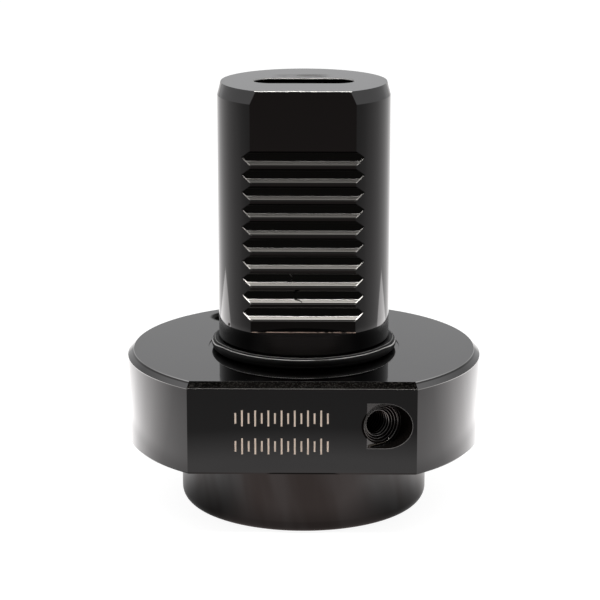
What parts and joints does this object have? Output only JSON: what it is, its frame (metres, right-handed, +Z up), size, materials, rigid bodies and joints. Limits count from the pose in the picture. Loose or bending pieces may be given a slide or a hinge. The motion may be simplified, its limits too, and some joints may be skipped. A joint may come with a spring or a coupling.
{
  "type": "morse taper adapter",
  "caption": "Lathe turret toolholder: straight shank with a serrated flat, flange milled flat at the front, and a taper socket with a tang slot for taper-shank drills.",
  "frame": {"origin": "centre of the nose's end face, where the taper socket opens", "axes": "+Z up the common axis of socket, flange and shank, to the shank's end; the two milled flats face -Y and the tapped port is on the +X side of the flange's flat"},
  "size_m": [0.083, 0.074, 0.1],
  "materials": {
    "body": "ground and polished, then black oxide",
    "seal_ring": "smooth black rubber"
  },
  "bodies": {
    "root": {"body": "body", "seal_ring": "seal_ring"}
  },
  "joints": []
}
